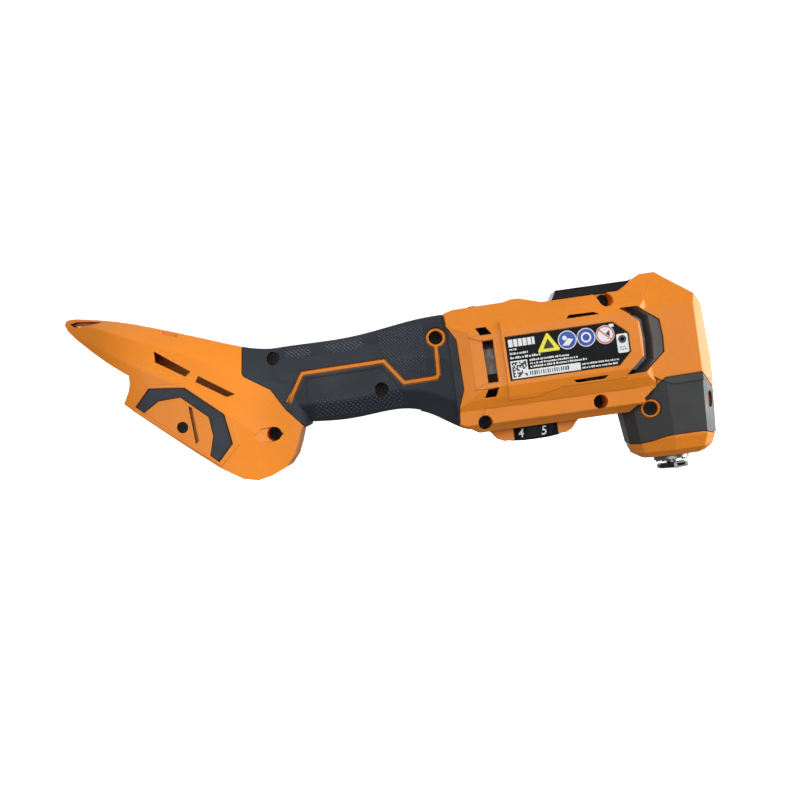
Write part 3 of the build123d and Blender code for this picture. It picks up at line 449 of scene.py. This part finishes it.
class Print:
    """Flat shapes on the right-hand face of the rating plate, in mm of the side view."""

    def __init__(self, layer):
        self.bm = bmesh.new()
        self.y = plate_y - 0.00002 - 0.00003 * layer

    def shape(self, points):
        verts = [self.bm.verts.new((x * MM, self.y, z * MM)) for x, z in points]
        face = self.bm.faces.new(verts)
        face.normal_update()
        if face.normal.y > 0:
            face.normal_flip()

    def bar(self, x0, x1, z0, z1):
        self.shape([(x0, z0), (x1, z0), (x1, z1), (x0, z1)])

    def disc(self, x, z, r, sides=40):
        turns = [2 * math.pi * i / sides for i in range(sides)]
        self.shape([(x + r * math.cos(t), z + r * math.sin(t)) for t in turns])

    def ring(self, x, z, outer, inner, sides=40):
        for i in range(sides):
            a, b = 2 * math.pi * i / sides, 2 * math.pi * (i + 1) / sides
            corners = ((outer, a), (outer, b), (inner, b), (inner, a))
            self.shape([(x + r * math.cos(t), z + r * math.sin(t)) for r, t in corners])

    def rounded(self, x0, x1, z0, z1, r):
        points = []
        high = ((x1 - r, z1 - r, 0), (x0 + r, z1 - r, 90))
        low = ((x0 + r, z0 + r, 180), (x1 - r, z0 + r, 270))
        for cx, cz, start in high + low:
            for turn in (0, 30, 60, 90):
                angle = math.radians(start + turn)
                points.append((cx + r * math.cos(angle), cz + r * math.sin(angle)))
        self.shape(points)

    def soft_triangle(self, corners, r):
        """Triangle with rounded corners: each corner is a small arc of radius r about a point inside it."""
        points = []
        for corner, start in corners:
            for turn in (0, 30, 60, 90, 120):
                angle = math.radians(start + turn)
                points.append((corner[0] + r * math.cos(angle), corner[1] + r * math.sin(angle)))
        self.shape(points)

    def line(self, rng, x0, x1, z, height):
        """A row of short dashes of uneven length, standing for a line of small print."""
        x = x0
        while x < x1 - 0.5:
            width = min(rng.uniform(0.4, 0.95), x1 - x)
            self.bar(x, x + width, z, z + height * rng.choice((0.72, 1.0, 0.86)))
            x += width + rng.choice((0.25, 0.25, 0.6))


def flat_text(text, x, z, height, y, bold=0.0):
    """Upright text on the right-hand side, as a mesh with its lower left corner at (x, z) mm."""
    curve = bpy.data.curves.new("text", "FONT")
    curve.body = text
    curve.size = height * MM / 0.70
    curve.offset = bold * MM
    made = bpy.data.objects.new("text", curve)
    bpy.context.scene.collection.objects.link(made)
    bpy.context.view_layer.update()
    mesh = bpy.data.meshes.new_from_object(made.evaluated_get(bpy.context.evaluated_depsgraph_get()))
    bpy.data.objects.remove(made)
    mesh.transform(Matrix.Translation((x * MM, y, z * MM)) @ Matrix.Rotation(math.pi / 2, 4, "X"))
    return mesh


rng = random.Random(7)
# the row of warning signs, in mm
sign_z = 70.1
blue_x = (-51.2, -41.4)
red_x = -31.5
white = Print(0)
# grounds of the round signs, the small label, a tick, the square code and the bar code
for x in blue_x + (red_x,):
    white.disc(x, sign_z, 4.85)
white.rounded(-26.0, -20.1, 59.6, 69.5, 0.9)
white.bar(-29.0, -26.5, 73.6, 75.2)
white.bar(-81.9, -73.2, 53.9, 63.1)
white.bar(-73.2, -46.2, 53.9, 57.7)
# a title as plain blocks, then three groups of small print
title_x, title_gap = -81.7, 0.42
for width in (2.3, 2.0, 2.0, 2.0, 2.0, 1.3):
    white.bar(title_x, title_x + width, 70.4, 74.3)
    title_x += width + title_gap
for z, x1 in ((68.6, -77.4), (66.4, -71.8), (64.2, -65.8)):
    white.line(rng, -81.6, x1, z, 1.2)
for z, x1 in ((62.0, -50.9), (60.3, -46.6), (58.6, -42.6)):
    white.line(rng, -71.9, x1, z, 1.05)
for z, x1 in ((56.2, -25.6), (54.3, -26.6)):
    white.line(rng, -45.4, x1, z, 1.05)
piece("plate_print_white", white.bm, white_ink)

yellow = Print(1)
yellow.soft_triangle((((-56.3, 66.3), -90), ((-61.2, 74.3), 30), ((-66.1, 66.3), 150)), 0.75)
piece("plate_print_yellow", yellow.bm, yellow_ink)

blue = Print(1)
for x in blue_x:
    blue.disc(x, sign_z, 4.4)
piece("plate_print_blue", blue.bm, blue_ink)

red = Print(1)
red.ring(red_x, sign_z, 4.6, 3.9)
stroke = [(-3.0, 2.4), (-2.5, 2.9), (3.0, -2.4), (2.5, -2.9)]
red.shape([(red_x + x, sign_z + z) for x, z in stroke])
piece("plate_print_red", red.bm, red_ink)

# black marks on the coloured and white grounds
dark = Print(2)
dark.soft_triangle((((-58.9, 67.5), -90), ((-61.2, 71.6), 30), ((-63.5, 67.5), 150)), 0.35)
# square code of random cells, and a row of bars of random width beside it
cell_x, cell_z = 0.75, 0.78
for i in range(10):
    for j in range(10):
        if rng.random() < 0.5 or (i in (0, 9) and j in (0, 9)):
            x, z = -81.3 + cell_x * i, 54.6 + cell_z * j
            dark.bar(x, x + cell_x, z, z + cell_z)
bar_pitch = 1.15
for index in range(18):
    x = -72.6 + bar_pitch * index
    dark.bar(x, x + rng.choice((0.35, 0.55, 0.75)), 54.8, 56.9)
dark.disc(-23.0, 66.6, 2.1, 28)
dark.line(rng, -24.8, -21.4, 62.4, 0.6)
dark.line(rng, -24.8, -21.4, 61.1, 0.6)
dark.shape([(red_x + 0.3, sign_z + 0.4), (red_x + 2.4, sign_z + 2.2), (red_x + 2.4, sign_z - 1.4)])
piece("plate_print_dark", dark.bm, black_ink)

pale = Print(2)
pale.disc(blue_x[0] - 1.3, sign_z + 1.2, 1.2, 24)
page = [(-2.9, -2.6), (0.6, -2.9), (3.1, 0.0), (0.4, 0.9)]
pale.shape([(blue_x[0] + x, sign_z + z) for x, z in page])
pale.ring(blue_x[1], sign_z, 2.7, 1.8)
pale.disc(-23.0, 66.6, 0.9, 20)
piece("plate_print_icons", pale.bm, white_ink)


# ---------------------------------------------------------------- speed dial digits
def finely_cut(mesh):
    """Slices a flat upright mesh every 0.3 mm along X, so that it can be bent round a wheel."""
    bm = bmesh.new()
    bm.from_mesh(mesh)
    for step in range(-2, 24):
        cut = bm.verts[:] + bm.edges[:] + bm.faces[:]
        bmesh.ops.bisect_plane(bm, geom=cut, plane_co=(step * 0.3 * MM, 0, 0), plane_no=(1, 0, 0))
    bm.to_mesh(mesh)
    bm.free()
    return mesh


def dial_digits():
    """Digits 1 to 6 wrapped round the dial, 50 degrees apart, with 5 nearest to the camera."""
    low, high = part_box("speed_dial")
    radius, centre = (high.y - low.y) / 2, Vector(((low.x + high.x) / 2, 0))
    digit_height, digit_bold, lean = 4.6, 0.08, 0.16
    digit_foot, ink_lift = 0.0228, 0.00004
    pitch, angle_of_5 = 50, 286
    bm = bmesh.new()
    for digit in range(1, 7):
        angle = math.radians(angle_of_5 + pitch * (digit - 5))
        mesh = finely_cut(flat_text(str(digit), 0, 0, digit_height, 0, digit_bold))
        xs = [v.co.x for v in mesh.vertices]
        centre_x = (min(xs) + max(xs)) / 2
        for v in mesh.vertices:
            u, w = v.co.x - centre_x + lean * (v.co.z - digit_height * MM / 2), v.co.z
            turn = angle + u / radius
            reach = radius + ink_lift
            x, y = centre.x + reach * math.cos(turn), centre.y + reach * math.sin(turn)
            v.co = Vector((x, y, digit_foot + w))
        bm.from_mesh(mesh)
        bpy.data.meshes.remove(mesh)
    return piece("dial_digits", bm, white_ink, body="dial")


dial_digits()


# ---------------------------------------------------------------- floor, light and camera
def stage_mesh(name, rows, tone):
    """Plain pale surface through rows of points, kept out of the object's own light and reflections."""
    bm = bmesh.new()
    rows = [[bm.verts.new(point) for point in row] for row in rows]
    for a, b in zip(rows, rows[1:]):
        for i in range(len(a) - 1):
            bm.faces.new((a[i], a[i + 1], b[i + 1], b[i]))
    bmesh.ops.remove_doubles(bm, verts=bm.verts, dist=0.00001)
    mesh = bpy.data.meshes.new(name)
    bm.to_mesh(mesh)
    bm.free()
    for polygon in mesh.polygons:
        polygon.use_smooth = True
    s = Shader(name)
    s.link(s.ramp(s.noise(3.0), [(0.3, tone - 0.01), (0.7, tone + 0.01)]), s.bsdf.inputs["Base Color"])
    s.link(s.ramp(s.noise(40.0), [(0.3, 0.75), (0.7, 0.85)]), s.bsdf.inputs["Roughness"])
    s.bsdf.inputs["Emission Color"].default_value = (1.0, 1.0, 1.0, 1)
    s.bsdf.inputs["Emission Strength"].default_value = floor_glow
    mesh.materials.append(s.mat)
    obj = bpy.data.objects.new(name, mesh)
    bpy.context.scene.collection.objects.link(obj)
    obj.visible_glossy = False
    obj.visible_diffuse = False


def floor_rows():
    """A round floor that curves up into a closed dome, wide enough for every view from above the floor."""
    floor_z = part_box("clamp_foot")[0].z - floor_gap
    flat, bend = 2.2, 0.8
    profile = [(0.0, 0.0), (0.6, 0.0), (1.2, 0.0), (flat, 0.0)]
    angles = [math.radians(10 * i) for i in range(1, 10)]
    profile += [(flat + bend * math.sin(t), bend - bend * math.cos(t)) for t in angles]
    profile += [(3.0, 2.4), (2.4, 3.6), (1.2, 4.2), (0.0, 4.3)]
    turns = [2 * math.pi * i / 64 for i in range(65)]
    centre_x = middle[0]
    return [[(r * math.cos(t) + centre_x, r * math.sin(t), floor_z + z) for t in turns] for r, z in profile]


def area_light(name, place, target, size, watts):
    """White soft box at a place, turned towards a target."""
    light = bpy.data.lights.new(name, "AREA")
    light.shape = "RECTANGLE"
    light.size, light.size_y = size
    light.energy = watts
    obj = bpy.data.objects.new(name, light)
    obj.location = place
    obj.rotation_euler = (Vector(target) - Vector(place)).to_track_quat("-Z", "Y").to_euler()
    bpy.context.scene.collection.objects.link(obj)


stage_mesh("floor", floor_rows(), floor_tone)
world = bpy.data.worlds.new("studio")
bpy.context.scene.world = world
world.use_nodes = True
world.node_tree.nodes["Background"].inputs["Color"].default_value = (1.0, 1.0, 1.0, 1)
world.node_tree.nodes["Background"].inputs["Strength"].default_value = world_strength
# name, place, what it points at, size in metres, watts
boxes = (
    ("front_box", (-0.28, -1.7, 0.30), middle, (1.6, 1.2), 24),
    ("right_box", (1.30, -0.12, 0.22), head_middle, (0.7, 0.9), 34),
    ("overhead", (-0.25, -0.05, 1.5), middle, (1.3, 0.8), 2.5),
    ("rim_box", (1.05, 1.15, 0.12), head_middle, (1.0, 0.9), 9),
    ("back_box", (-0.30, 1.7, 0.70), middle, (1.7, 1.1), 18),
)
for row in boxes:
    area_light(*row)

camera = bpy.data.objects.new("camera", bpy.data.cameras.new("camera"))
bpy.context.scene.collection.objects.link(camera)
camera.data.sensor_width = camera_sensor
camera.data.lens = camera_lens
camera.data.clip_start, camera.data.clip_end = 0.01, 20
camera.matrix_world = (
    Matrix.Translation(camera_place)
    @ Matrix.Rotation(math.pi / 2, 4, "X")
    @ Matrix.Rotation(camera_roll, 4, "Z")
)
bpy.context.scene.camera = camera
bpy.context.scene.view_settings.view_transform = "Standard"
